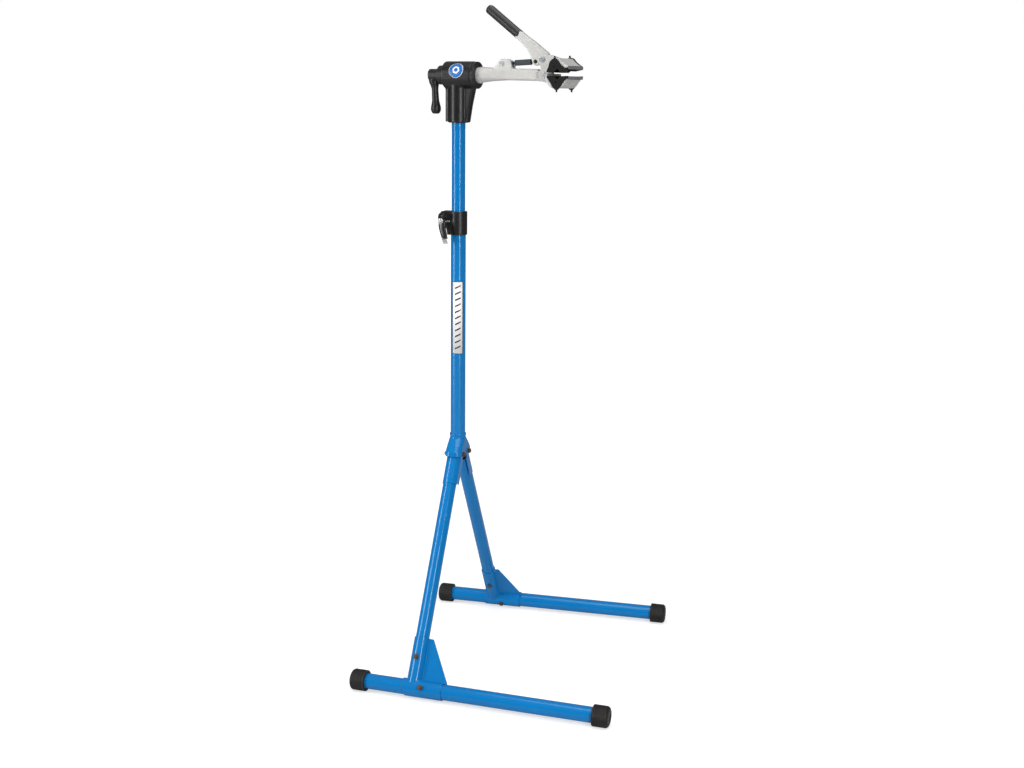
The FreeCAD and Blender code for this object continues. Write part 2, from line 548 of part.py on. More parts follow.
def make_grip():
    start = V(GRIP_START[0] + 1.5, 0, GRIP_START[1] - 1.1)
    end = V(GRIP_END[0], 0, GRIP_END[1])
    body = rod(start, end, 9.8)
    body = body.fuse(Part.makeSphere(9.8, end))
    tang = rod((GRIP_START[0] + 4, 0, GRIP_START[1] - 3), (GRIP_END[0] + 6, 0, GRIP_END[1] - 4.5), 6.5)
    return without(body, tang, parts_handle)


def turned(point, centre, degrees):
    """Point (x, z) turned about a centre, x towards z."""
    angle = math.radians(degrees)
    dx, dz = point[0] - centre[0], point[1] - centre[1]
    return (centre[0] + dx * math.cos(angle) - dz * math.sin(angle),
            centre[1] + dx * math.sin(angle) + dz * math.cos(angle))


def pin_path_in_link():
    """Where the toggle pin stands in the link's own frame as the handle swings open."""
    path = []
    for step in range(11):
        swing = HANDLE_SWING * step / 10.0
        jaw = JAW_PER_HANDLE * swing
        pin = turned(TOGGLE_PIN, HANDLE_PIVOT, -swing)
        pin = turned(pin, JAW_PIVOT, jaw)
        path.append(turned(pin, LINK_PIN, -LINK_PER_HANDLE * swing))
    return path


def make_link():
    """Eye on the link pin, threaded rods, and the slotted eye on the toggle pin."""
    tilt = math.atan2(TOGGLE_PIN[1] - LINK_PIN[1], TOGGLE_PIN[0] - LINK_PIN[0])

    def on_link(distance):
        return (LINK_PIN[0] + distance * math.cos(tilt), 0, LINK_PIN[1] + distance * math.sin(tilt))

    reach = math.hypot(TOGGLE_PIN[0] - LINK_PIN[0], TOGGLE_PIN[1] - LINK_PIN[1])
    eye = fused(cross_rod(LINK_PIN, 4.0, 7.0), rod(on_link(3), on_link(41), ROD_R))
    eye = eye.cut(cross_rod(LINK_PIN, 10, LINK_PIN_R + RUNNING))
    end = fused(cross_rod(TOGGLE_PIN, LINK_HALF, 7.7), rod(on_link(44), on_link(reach - 3), ROD_R))
    slot = fused(*[cross_rod(pin, 10, TOGGLE_PIN_R + 0.5) for pin in pin_path_in_link()])
    end = end.cut(slot)
    sleeve = hex_bar(on_link(25.5), on_link(61.0), 11.4)
    sleeve = sleeve.cut(rod(on_link(20), on_link(66), ROD_R + RUNNING))
    return eye, end, sleeve


parts_handle = make_handle()
arm["handle_lever"] = parts_handle
arm["handle_grip"] = make_grip()
pin_end = cross_rod(TOGGLE_PIN, HANDLE_HALF, TOGGLE_HEAD_R).cut(cross_rod(TOGGLE_PIN, HANDLE_GAP + 0.2, 6))
arm["toggle_pin"] = fused(cross_rod(TOGGLE_PIN, HANDLE_HALF, TOGGLE_PIN_R), pin_end)
arm["link_eye"], arm["link_end"], arm["adjuster"] = make_link()


# ---- clamping knob -------------------------------------------------------------------------
def make_knob():
    """Hub on the arm's stud with a waisted lever hanging from it."""
    hub = rod((-67, 0, CLAMP_Z), (REAR_FLANGE_END - 0.7, 0, CLAMP_Z), 12.6)
    lever_axis = [(-57.3, 1246.0, 9.6), (-56.2, 1232.0, 8.2), (-54.8, 1214.0, 7.2), (-54.2, 1204.0, 7.4),
                  (-53.6, 1194.0, 9.3), (-53.4, 1186.5, 10.6), (-53.4, 1180.5, 9.6), (-53.4, 1175.6, 5.8)]
    rings = [Part.Wire(Part.makeCircle(radius, V(x, 0, z))) for x, z, radius in lever_axis]
    lever = Part.makeLoft(rings, True, False)
    bush_bore = rod((-62.5, 0, CLAMP_Z), (-30, 0, CLAMP_Z), 8.0)
    knob = fused(hub, lever).cut(bush_bore)
    bush = pipe((-62.5, 0, CLAMP_Z), (REAR_FLANGE_END - 0.7, 0, CLAMP_Z), 8.0, 5.0 + RUNNING)
    return knob, bush


arm["knob"], arm["knob_insert"] = make_knob()
mast.update(arm)

swivel = FreeCAD.Placement(V(0, 0, 0), FreeCAD.Rotation(V(0, 0, 1), MAST_SWIVEL))
for part_name, mast_shape in mast.items():
    parts[part_name] = placed(mast_shape, swivel)

os.makedirs("parts", exist_ok=True)
for part_name, shape in parts.items():
    shape = placed(shape, FreeCAD.Placement(V(POST_X, 0, 0), FreeCAD.Rotation()))
    shape.exportStep("parts/" + part_name + ".step")
print(len(parts), "parts")
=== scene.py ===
import json
import math

import bmesh
import bpy
from mathutils import Matrix, Vector


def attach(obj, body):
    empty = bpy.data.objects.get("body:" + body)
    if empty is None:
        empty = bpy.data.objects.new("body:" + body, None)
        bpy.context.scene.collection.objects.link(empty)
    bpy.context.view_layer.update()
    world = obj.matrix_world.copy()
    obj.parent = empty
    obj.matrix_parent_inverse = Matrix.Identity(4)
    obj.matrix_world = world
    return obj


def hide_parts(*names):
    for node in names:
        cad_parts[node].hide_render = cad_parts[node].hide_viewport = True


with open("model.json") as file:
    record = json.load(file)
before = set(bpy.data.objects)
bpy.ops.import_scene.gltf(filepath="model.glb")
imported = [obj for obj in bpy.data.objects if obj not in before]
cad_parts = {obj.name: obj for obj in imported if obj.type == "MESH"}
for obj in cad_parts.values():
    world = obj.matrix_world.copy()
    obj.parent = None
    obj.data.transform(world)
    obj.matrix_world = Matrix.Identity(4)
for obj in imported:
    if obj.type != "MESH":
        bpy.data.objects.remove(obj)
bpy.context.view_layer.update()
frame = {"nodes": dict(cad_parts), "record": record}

SLOT = {entry["node"]: entry["material_slot"] for entry in frame["record"]["subparts"]}
BODY = {node: body for body, members in frame["record"]["behaviour"]["bodies"].items()
        for node in members}

# ---- the object's own dimensions, in metres, as the CAD model has them ---------------------
POST = Vector((-0.1389, 0.0, 0.0))          # foot of the post's axis
POST_R = 0.0159
THIN_R = 0.0143
SPLAY = math.radians(2.06)
FLOOR_Y = 0.2805
FLOOR_Z = 0.0215
FLOOR_BACK = -0.138
FLOOR_FRONT = 0.416
PIVOT_Y = 0.0185
PIVOT_Z = 0.453
CLAMP_Z = 1.2545
SWIVEL = math.radians(-9.0)
SIDES = (("front", -1), ("rear", 1))
UP = Vector((0, 0, 1))
TOWARDS_FRONT = Vector((0, -1, 0))

# In the mast's frame: along the arm, across it, and up
MAST = Matrix.Translation(POST) @ Matrix.Rotation(SWIVEL, 4, "Z")
LINK_PIN = Vector((0.1042, 0.0, 1.2778))
TOGGLE_PIN = Vector((0.1770, 0.0, 1.2819))
LINK_ALONG = (TOGGLE_PIN - LINK_PIN).normalized()


def in_mast(x, y, z):
    """Row-frame point of a place given along the arm, across it and up, in metres."""
    return MAST @ Vector((x, y, z))


def mast_direction(x, y, z):
    return (MAST.to_3x3() @ Vector((x, y, z))).normalized()


def on_link(distance):
    point = LINK_PIN + LINK_ALONG * distance
    return in_mast(point.x, point.y, point.z)


def foot_centre(sign):
    """Where a leg's axis meets its floor tube's axis."""
    return POST + Vector((0, sign * FLOOR_Y, FLOOR_Z))


def floor_direction(sign):
    return Vector((math.cos(SPLAY), sign * math.sin(SPLAY), 0))


# ---- materials -----------------------------------------------------------------------------
# Sockets of the Mix node, which has one set for each data type
MIX_COLOUR_A, MIX_COLOUR_B, MIX_COLOUR_RESULT = 6, 7, 2
MIX_NUMBER_A, MIX_NUMBER_B, MIX_NUMBER_RESULT = 2, 3, 0
BUMP_DEPTH = 0.0006
WEAR_STARTS, WEAR_FULL, WEAR_SHARE = 0.53, 0.62, 0.55
COAT_ROUGHNESS = 0.1


def noise(tree, vector, scale, detail):
    node = tree.nodes.new("ShaderNodeTexNoise")
    node.inputs["Scale"].default_value = scale
    node.inputs["Detail"].default_value = detail
    tree.links.new(vector, node.inputs["Vector"])
    return node.outputs["Fac"]


def map_range(tree, value, low, high, to_low, to_high):
    node = tree.nodes.new("ShaderNodeMapRange")
    node.inputs["From Min"].default_value = low
    node.inputs["From Max"].default_value = high
    node.inputs["To Min"].default_value = to_low
    node.inputs["To Max"].default_value = to_high
    tree.links.new(value, node.inputs["Value"])
    return node.outputs["Result"]


def clouded(tree, vector, base, tint, scale):
    """Base colour that drifts a little darker and lighter over the surface."""
    ramp = tree.nodes.new("ShaderNodeValToRGB")
    low, high = ramp.color_ramp.elements
    low.position = 0.3
    low.color = (*[channel * (1.0 - tint) for channel in base], 1.0)
    high.position = 0.7
    high.color = (*[min(1.0, channel * (1.0 + tint)) for channel in base], 1.0)
    tree.links.new(noise(tree, vector, scale, 5.0), ramp.inputs["Fac"])
    return ramp.outputs["Color"]


def worn_edges(tree, colour, wear):
    """The colour, rubbed lighter along outward edges."""
    geometry = tree.nodes.new("ShaderNodeNewGeometry")
    edge = map_range(tree, geometry.outputs["Pointiness"], WEAR_STARTS, WEAR_FULL, 0.0, WEAR_SHARE)
    mix = tree.nodes.new("ShaderNodeMix")
    mix.data_type = "RGBA"
    tree.links.new(edge, mix.inputs["Factor"])
    tree.links.new(colour, mix.inputs[MIX_COLOUR_A])
    mix.inputs[MIX_COLOUR_B].default_value = (*wear, 1.0)
    return mix.outputs[MIX_COLOUR_RESULT]


def material(name, base, roughness, metallic=0.0, coat=0.0, specular=0.5, tint=0.12,
             tint_scale=30.0, rough_spread=0.08, bumps=((400.0, 0.05),), wear=None):
    """Principled material: noisy colour and roughness, layered bump, optional worn edges."""
    mat = bpy.data.materials.new(name)
    mat.use_nodes = True
    tree = mat.node_tree
    shader = tree.nodes["Principled BSDF"]
    shader.inputs["Metallic"].default_value = metallic
    shader.inputs["Coat Weight"].default_value = coat
    shader.inputs["Coat Roughness"].default_value = COAT_ROUGHNESS
    shader.inputs["Specular IOR Level"].default_value = specular

    where = tree.nodes.new("ShaderNodeTexCoord").outputs["Object"]
    colour = clouded(tree, where, base, tint, tint_scale)
    if wear is not None:
        colour = worn_edges(tree, colour, wear)
    tree.links.new(colour, shader.inputs["Base Color"])

    smoothest = max(0.02, roughness - rough_spread)
    roughest = min(1.0, roughness + rough_spread)
    grain = noise(tree, where, tint_scale * 4.0, 4.0)
    tree.links.new(map_range(tree, grain, 0.0, 1.0, smoothest, roughest), shader.inputs["Roughness"])

    normal = None
    for scale, strength in bumps:
        bump = tree.nodes.new("ShaderNodeBump")
        bump.inputs["Strength"].default_value = strength
        bump.inputs["Distance"].default_value = BUMP_DEPTH
        tree.links.new(noise(tree, where, scale, 3.0), bump.inputs["Height"])
        if normal is not None:
            tree.links.new(normal, bump.inputs["Normal"])
        normal = bump.outputs["Normal"]
    tree.links.new(normal, shader.inputs["Normal"])
    return mat


MATERIALS = {
    "blue_paint": material(
        "blue powder coat", (0.0, 0.165, 0.45), 0.15, specular=0.34, tint=0.05, tint_scale=9.0,
        rough_spread=0.04, bumps=((900.0, 0.02), (160.0, 0.015)), wear=(0.01, 0.20, 0.54)),
    "black_casting": material(
        "black cast paint", (0.008, 0.008, 0.009), 0.32, specular=0.34, tint=0.2,
        bumps=((1400.0, 0.10), (300.0, 0.08)), wear=(0.04, 0.04, 0.042)),
    "light_casting": material(
        "light cast alloy", (0.51, 0.505, 0.485), 0.46, metallic=0.30, tint=0.05, tint_scale=45.0,
        bumps=((1300.0, 0.10), (260.0, 0.04))),
    "black_rubber": material(
        "black jaw rubber", (0.006, 0.006, 0.006), 0.58, specular=0.18, tint=0.25,
        bumps=((1800.0, 0.12), (500.0, 0.08))),
    "cap_rubber": material(
        "foot rubber", (0.012, 0.011, 0.0105), 0.48, specular=0.26, tint=0.25, tint_scale=60.0,
        bumps=((1500.0, 0.18), (400.0, 0.10)), wear=(0.06, 0.056, 0.053)),
    "black_plastic": material(
        "black moulded plastic", (0.009, 0.009, 0.010), 0.34, specular=0.36, tint=0.15,
        bumps=((2200.0, 0.12),), wear=(0.035, 0.035, 0.036)),
    "dipped_grip": material(
        "dipped vinyl", (0.005, 0.005, 0.006), 0.38, specular=0.60, tint=0.1, rough_spread=0.02,
        bumps=((60.0, 0.02),)),
    "bright_zinc": material(
        "bright zinc", (0.66, 0.72, 0.77), 0.26, metallic=1.0, tint=0.08, tint_scale=120.0,
        bumps=((1500.0, 0.06),)),
    "dark_steel": material(
        "dark plated steel", (0.048, 0.058, 0.068), 0.38, metallic=0.6, tint=0.15, tint_scale=90.0,
        bumps=((1200.0, 0.08),), wear=(0.13, 0.15, 0.165)),
    "brown_bolt": material(
        "brown plated steel", (0.13, 0.07, 0.04), 0.36, metallic=0.8, tint=0.25, tint_scale=200.0,
        bumps=((1500.0, 0.08),), wear=(0.38, 0.22, 0.12)),
    "silver_alloy": material(
        "polished alloy", (0.66, 0.66, 0.64), 0.26, metallic=0.9, tint=0.05, tint_scale=120.0,
        bumps=((900.0, 0.05),)),
}
EMBLEM_BLUE = material("emblem blue", (0.0, 0.13, 0.45), 0.3, coat=0.3, tint=0.06,
                       bumps=((700.0, 0.03),))
DECAL_WHITE = material("decal white", (0.80, 0.80, 0.79), 0.35, coat=0.2, tint=0.02,
                       bumps=((700.0, 0.03),))
DECAL_BLACK = material("decal black", (0.012, 0.012, 0.012), 0.35, coat=0.2, tint=0.1,
                       bumps=((700.0, 0.03),))
# Pale grey of the jaw lips is a painted highlight: the sheen that the black rubber linings catch along
# their front edges
LIP_PAINTED_HIGHLIGHT = material("lip painted highlight", (0.16, 0.15, 0.17), 0.38, specular=0.5, tint=0.15,
                      bumps=((1500.0, 0.10),))


# ---- mesh helpers --------------------------------------------------------------------------
def finish_piece(obj, mat, body, nodes=()):
    """Give a new object its material and its body, and hide the CAD nodes it stands for."""
    obj.data.materials.clear()
    obj.data.materials.append(mat)
    for face in obj.data.polygons:
        face.use_smooth = True
    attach(obj, body)
    if nodes:
        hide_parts(*nodes)


def object_from(bm, name):
    mesh = bpy.data.meshes.new(name)
    bm.to_mesh(mesh)
    bm.free()
    obj = bpy.data.objects.new(name, mesh)
    bpy.context.scene.collection.objects.link(obj)
    return obj


def closed_object(bm, name):
    bmesh.ops.recalc_face_normals(bm, faces=bm.faces)
    return object_from(bm, name)


def apply_modifiers(obj):
    depsgraph = bpy.context.evaluated_depsgraph_get()
    mesh = bpy.data.meshes.new_from_object(obj.evaluated_get(depsgraph))
    obj.modifiers.clear()
    old = obj.data
    obj.data = mesh
    bpy.data.meshes.remove(old)


def copy_of(node, name):
    """Copy of a CAD node with its vertices joined and its faces turned outward."""
    obj = bpy.data.objects.new(name, frame["nodes"][node].data.copy())
    bpy.context.scene.collection.objects.link(obj)
    bm = bmesh.new()
    bm.from_mesh(obj.data)
    bmesh.ops.remove_doubles(bm, verts=bm.verts, dist=1e-6)
    bmesh.ops.recalc_face_normals(bm, faces=bm.faces)
    bm.to_mesh(obj.data)
    bm.free()
    return obj


def softened(node, voxel, passes):
    """Casting or moulding: the node's shape with its edges and inner corners rounded over."""
    obj = copy_of(node, node + "_soft")
    remesh = obj.modifiers.new("remesh", "REMESH")
    remesh.mode = "VOXEL"
    remesh.voxel_size = voxel
    remesh.adaptivity = 0.0
    smooth = obj.modifiers.new("smooth", "SMOOTH")
    smooth.factor = 0.5
    smooth.iterations = passes
    apply_modifiers(obj)
    finish_piece(obj, MATERIALS[SLOT[node]], BODY[node], [node])


def edged(node, width=0.0004, slot=None):
    """Machined or sheet part: the node's shape with small rounded edges."""
    obj = copy_of(node, node + "_edged")
    bm = bmesh.new()
    bm.from_mesh(obj.data)
    bmesh.ops.dissolve_limit(bm, angle_limit=math.radians(1.0), verts=bm.verts, edges=bm.edges)
    bm.to_mesh(obj.data)
    bm.free()
    bevel = obj.modifiers.new("bevel", "BEVEL")
    bevel.width = width
    bevel.segments = 2
    bevel.limit_method = "ANGLE"
    bevel.angle_limit = math.radians(35.0)
    bevel.harden_normals = True
    obj.data.polygons.foreach_set("use_smooth", [True] * len(obj.data.polygons))
    normals = obj.modifiers.new("normals", "WEIGHTED_NORMAL")
    normals.keep_sharp = True
    apply_modifiers(obj)
    slot = slot or SLOT[node]
    finish_piece(obj, MATERIALS[slot], BODY[node], [node])


def skin(bm, rings):
    """Faces from each ring of vertices to the next; all rings have the same count."""
    count = len(rings[0])
    for first, second in zip(rings, rings[1:]):
        for step in range(count):
            after = (step + 1) % count
            bm.faces.new((first[step], first[after], second[after], second[step]))


def loft(name, rings_of_points):
    """Closed solid through rings of points, flat at both ends."""
    bm = bmesh.new()
    rings = [[bm.verts.new(point) for point in ring] for ring in rings_of_points]
    skin(bm, rings)
    bm.faces.new(rings[0])
    bm.faces.new(rings[-1])
    return closed_object(bm, name)


def squared(value, power):
    """Sine or cosine drawn towards 1, so that a circle becomes a rounded rectangle."""
    return math.copysign(abs(value) ** power, value)


def turns(count):
    return [2 * math.pi * step / count for step in range(count)]


def lathe(name, profile, base, along, segments=96, lowest=None):
    """Solid of revolution from (distance along the axis, radius) points, cut off at lowest."""
    along = Vector(along).normalized()
    side = along.orthogonal().normalized()
    other = along.cross(side)
    bm = bmesh.new()
    rings = []
    for distance, radius in profile:
        centre = Vector(base) + along * distance
        if radius < 1e-6:
            rings.append([bm.verts.new(centre)])
            continue
        ring = []
        for turn in turns(segments):
            point = centre + side * (radius * math.cos(turn)) + other * (radius * math.sin(turn))
            if lowest is not None and point.z < lowest:
                point.z = lowest
            ring.append(bm.verts.new(point))
        rings.append(ring)
    for first, second in zip(rings, rings[1:]):
        for step in range(segments):
            after = (step + 1) % segments
            if len(first) == 1 and len(second) == 1:
                continue
            if len(first) == 1:
                bm.faces.new((first[0], second[after], second[step]))
            elif len(second) == 1:
                bm.faces.new((first[step], first[after], second[0]))
            else:
                bm.faces.new((first[step], first[after], second[after], second[step]))
    return closed_object(bm, name)


# ---- tubes ---------------------------------------------------------------------------------
TUBE_WALL = 0.0015
TUBE_LIP = 0.0004                # rounding of a tube's cut ends
RING_SPACING = 0.04
MAST_TUBE_LOW, MAST_TUBE_HIGH = 0.6633, 1.222
LEG_END_GAP = 0.018              # from the leg tube's ends to the axes they point at
FLOOR_END_GAP = 0.004            # from the floor tube's ends to the caps' faces


def tube_piece(node, start, end, outer):
    """Drawn tube with rolled edges at both ends."""
    along = end - start
    length = along.length
    lip, inner = TUBE_LIP, outer - TUBE_WALL
    near, far = lip * 0.3, length - lip * 0.3
    steps = max(6, int(length / RING_SPACING))
    profile = [(near, inner), (0.0, inner + lip), (0.0, outer - lip), (near, outer - lip * 0.3),
               (lip, outer)]
    profile += [(length * step / steps, outer) for step in range(1, steps)]
    profile += [(length - lip, outer), (far, outer - lip * 0.3), (length, outer - lip),
                (length, inner + lip), (far, inner), (near, inner)]
    obj = lathe(node + "_tube", profile, start, along)
    finish_piece(obj, MATERIALS["blue_paint"], BODY[node], [node])


def tubes():
    tube_piece("upper_tube", POST + UP * MAST_TUBE_LOW, POST + UP * MAST_TUBE_HIGH, THIN_R)
    for side, sign in SIDES:
        foot = foot_centre(sign)
        pivot = POST + Vector((0, sign * PIVOT_Y, PIVOT_Z))
        up = (pivot - foot).normalized()
        outward = floor_direction(sign)
        tube_piece(side + "_leg_tube", foot + up * LEG_END_GAP, pivot - up * LEG_END_GAP, THIN_R)
        tube_piece(side + "_floor_tube", foot + outward * (FLOOR_BACK + FLOOR_END_GAP),
                   foot + outward * (FLOOR_FRONT - FLOOR_END_GAP), POST_R)


# ---- ribbed foot caps ----------------------------------------------------------------------
RIB_START, RIB_PITCH, RIBS = 0.0064, 0.0023, 10
RIB_TOP_R, RIB_ROOT_R = 0.02175, 0.0210


def cap_profile():
    """Domed face, fine moulded ribs round the side, thicker lip at the mouth."""
    points = [(0.0012, 0.0), (0.0012, 0.0075), (0.0002, 0.0085), (0.0002, 0.0125),
              (0.0008, 0.0165), (0.0022, 0.0192), (0.0042, 0.0209), (0.0058, 0.02145)]
    for rib in range(RIBS):
        near = RIB_START + rib * RIB_PITCH
        points += [(near, RIB_TOP_R), (near + 0.0012, RIB_TOP_R),
                   (near + 0.0015, RIB_ROOT_R), (near + 0.0020, RIB_ROOT_R)]
    mouth = RIB_START + RIBS * RIB_PITCH
    return points + [(mouth, 0.02178), (0.0326, 0.02178), (0.0336, 0.0214), (0.0340, 0.0205),
                     (0.0340, 0.0166), (0.0330, 0.0161)]


def foot_caps():
    for side, sign in SIDES:
        outward = floor_direction(sign)
        for end, face, way in (("back", FLOOR_BACK, 1), ("front", FLOOR_FRONT, -1)):
            node = side + "_" + end + "_cap"
            cap = lathe(node + "_ribbed", cap_profile(), foot_centre(sign) + outward * face,
                        outward * way, 128, lowest=0.0)
            finish_piece(cap, MATERIALS["cap_rubber"], side + "_leg", [node])


# ---- castings, mouldings and hardware ------------------------------------------------------
def castings_and_hardware():
    """Softened nodes are given by voxel size and smoothing passes."""
    for node, voxel, passes in (
            ("yoke", 0.0007, 6), ("head_casting", 0.0011, 14), ("clamp_arm", 0.0010, 8),
            ("upper_jaw", 0.0008, 6), ("handle_lever", 0.0009, 20),
            ("lower_jaw_cover", 0.0006, 4), ("upper_jaw_cover", 0.0006, 4),
            ("knob", 0.0008, 12), ("collar", 0.0007, 5), ("cam_head", 0.0005, 5),
            ("cam_lever", 0.0004, 5)):
        softened(node, voxel, passes)
    for side, _ in SIDES:
        softened(side + "_foot_bracket", 0.0008, 4)
        edged(side + "_leg_socket")
        edged(side + "_bracket_bolts", 0.0005)
        edged(side + "_bracket_nuts", 0.0005)
    for node in ("pivot_bolts", "pivot_nuts", "jaw_bolt", "jaw_nut", "handle_bolt", "handle_nut",
                 "link_pin", "adjuster", "skewer_nut", "link_eye", "link_end", "front_bushing",
                 "rear_bushing", "tube_plug", "knob_insert", "lower_post"):
        edged(node)
    for node in ("toggle_pin", "collar_skewer", "cam_washer"):
        edged(node, slot="dark_steel")


# ---- dipped grip ---------------------------------------------------------------------------
GRIP_START, GRIP_END = (0.1383, 0, 1.3341), (0.0730, 0, 1.3838)
GRIP_END_DOME = 0.0085
GRIP_HALF_TALL, GRIP_HALF_WIDE = 0.0103, 0.0094
GRIP_HEXAGON_SHARE = 0.65        # 0 is round, 1 is a sharp hexagon


def grip_section(distance, scale, start, along, upward, across):
    points = []
    for turn in turns(72):
        corner = turn % (math.pi / 3) - math.pi / 6
        hexagonal = 1.0 - GRIP_HEXAGON_SHARE
        hexagonal += GRIP_HEXAGON_SHARE * math.cos(math.pi / 6) / math.cos(corner)
        tall = GRIP_HALF_TALL * scale * hexagonal * math.sin(turn)
        wide = GRIP_HALF_WIDE * scale * hexagonal * math.cos(turn)
        points.append(start + along * distance + upward * tall + across * wide)
    return points


def grip():
    """Dipped grip of soft hexagonal section, square-cut lip, rounded far end."""
    start, end = in_mast(*GRIP_START), in_mast(*GRIP_END)
    along = (end - start).normalized()
    across = mast_direction(0, 1, 0)
    upward = across.cross(along).normalized()
    length = (end - start).length + GRIP_END_DOME
    stations = [(0.0, 0.90), (0.0004, 0.97), (0.0012, 1.0), (0.0040, 1.0), (0.0052, 0.975)]
    stations += [(length * share, 0.97 + 0.02 * share) for share in (0.15, 0.3, 0.45, 0.6, 0.75, 0.85)]
    stations += [(length - back, scale) for back, scale in (
        (GRIP_END_DOME, 0.99), (0.0055, 0.95), (0.0030, 0.85), (0.0012, 0.66), (0.0003, 0.40),
        (0.0, 0.15))]
    obj = loft("dipped_grip", [grip_section(distance, scale, start, along, upward, across)
                               for distance, scale in stations])
    finish_piece(obj, MATERIALS["dipped_grip"], "handle", ["handle_grip"])


# ---- link threads --------------------------------------------------------------------------
ROD_R = 0.00298
THREAD_DEPTH, THREAD_PITCH = 0.0003, 0.001


def threads(name, base, length):
    """Row of thread crests round one of the link's rods."""
    root = ROD_R - THREAD_DEPTH
    profile = [(0.0, root)]
    for turn in range(int(length / THREAD_PITCH)):
        start = turn * THREAD_PITCH
        profile += [(start + 0.15 * THREAD_PITCH, root), (start + 0.45 * THREAD_PITCH, ROD_R),
                    (start + 0.6 * THREAD_PITCH, ROD_R), (start + 0.9 * THREAD_PITCH, root)]
    profile.append((length, root))
    obj = lathe(name, profile, base, mast_direction(*LINK_ALONG), 48)
    finish_piece(obj, MATERIALS["dark_steel"], "link")


# ---- small trim ----------------------------------------------------------------------------
def rounded_bar(name, start, end, tall, deep, body, mat):
    """Straight level bar of rounded rectangular section, given by half height and half depth."""
    along = (end - start).normalized()
    across = along.cross(UP).normalized()
    upward = across.cross(along).normalized()
    length = (end - start).length
    ease = 0.5 * min(tall, deep)
    rings = []
    for distance, scale in ((0.0, 0.75), (0.4 * ease, 0.93), (ease, 1.0), (length - ease, 1.0),
                            (length - 0.4 * ease, 0.93), (length, 0.75)):
        rings.append([start + along * distance
                      + upward * (tall * scale * squared(math.cos(turn), 0.45))
                      + across * (deep * scale * squared(math.sin(turn), 0.45))
                      for turn in turns(32)])
    finish_piece(loft(name, rings), mat, body)


def lever_strip(name, stations, deep, shift):
    """Black strip on the cam lever, through (x, y, z, half width) given from the post's axis."""
    rings = []
    for x, y, z, half in stations:
        centre = POST + Vector((x, y + shift, z))
        rings.append([centre + Vector((half * squared(math.cos(turn), 0.7),
                                       deep * squared(math.sin(turn), 0.8), 0))
                      for turn in turns(24)])
    finish_piece(loft(name, rings), MATERIALS["black_plastic"], "collar_lever")


def lever_trim():
    """Black strips along the bright cam lever, and its bright boss."""
    left = [(-0.0322, -0.0285, 0.9490, 0.0014), (-0.0310, -0.0305, 0.9410, 0.0015),
            (-0.0292, -0.0308, 0.9350, 0.0015), (-0.0270, -0.0310, 0.9290, 0.0016),
            (-0.0250, -0.0310, 0.9225, 0.0016)]
    right = [(-0.0232, -0.0270, 0.9530, 0.0044), (-0.0228, -0.0290, 0.9480, 0.0050),
             (-0.0224, -0.0305, 0.9400, 0.0050), (-0.0202, -0.0309, 0.9310, 0.0048),
             (-0.0192, -0.0310, 0.9240, 0.0052), (-0.0190, -0.0308, 0.9195, 0.0060)]
    lever_strip("cam_lever_strip", left, 0.0028, -0.0004)
    lever_strip("cam_lever_grip", right, 0.0029, -0.0002)
    rounded_top = [(0.0, 0.0), (0.0, 0.0042), (0.002, 0.0052), (0.0040, 0.0050), (0.0050, 0.0041),
                   (0.0056, 0.0024), (0.0058, 0.0)]
    boss = lathe("cam_lever_boss", rounded_top, POST + Vector((-0.0290, -0.0256, 0.9580)),
                 (-0.1, -0.9, -0.35), 48)
    finish_piece(boss, MATERIALS["silver_alloy"], "collar_lever")


def collar_stop():
    """Small bright bar beside the collar, a guess at what shows there."""
    left, right, y, z = -0.0240, -0.0140, -0.0156, 0.9545
    rounded_bar("collar_stop", POST + Vector((left, y, z)), POST + Vector((right, y, z)),
                0.0015, 0.0009, "post", MATERIALS["silver_alloy"])


def pivot_domes():
    """Round tops of the leg pivot bolts' heads."""
    head_face = -0.0204
    dome = [(0.0, 0.0), (0.0, 0.0046), (0.0012, 0.0046), (0.0024, 0.0040), (0.0032, 0.0026),
            (0.0034, 0.0)]
    for side, sign in SIDES:
        base = POST + Vector((head_face, sign * PIVOT_Y, PIVOT_Z))
        piece = lathe(side + "_pivot_dome", dome, base, (-1, 0, 0), 40)
        finish_piece(piece, MATERIALS["brown_bolt"], "post")


def toggle_clip():
    """Dark clip on the toggle pin's near end."""
    pin_end = -0.0074
    clip = [(0.0, 0.0), (0.0, 0.0036), (0.0006, 0.0038), (0.0011, 0.0034), (0.0014, 0.0020),
            (0.0015, 0.0)]
    piece = lathe("toggle_pin_clip", clip, in_mast(TOGGLE_PIN.x, pin_end, TOGGLE_PIN.z),
                  mast_direction(0, -1, 0), 40)
    finish_piece(piece, MATERIALS["black_plastic"], "handle")


def jaw_lip_highlights():
    """Thin pale grey sheets along the front edges of the two jaw linings: a painted highlight, the
    grey sheen of the black rubber lips put into their colour.
    """
    front, half_length, half_depth = 0.2619, 0.0366, 0.0005
    for side, low, high, body in (("upper", 1.2667, 1.2732, "jaw"),
                                  ("lower", 1.2472, 1.2531, "clamp")):
        middle = 0.5 * (low + high)
        rounded_bar(side + "_jaw_lip_painted_highlight", in_mast(front, -half_length, middle),
                    in_mast(front, half_length, middle), 0.5 * (high - low), half_depth, body,
                    LIP_PAINTED_HIGHLIGHT)


# ---- generic decals ------------------------------------------------------------------------
FILM = 0.00012
LABEL_FACE, LABEL_HALF = math.radians(13.0), math.radians(44.0)
LABEL_LOW, LABEL_HIGH = 0.672, 0.828
LABEL_BORDER, LABEL_SIDE_BORDER = 0.0014, math.radians(5.0)
EDGE_LIFT, BAND_LIFT, BAR_LIFT = 0.00006, 0.00014, 0.00022
BARS, BAR_PITCH, BAR_HEIGHT, BAR_SLANT = 11, 0.013, 0.0032, 0.006


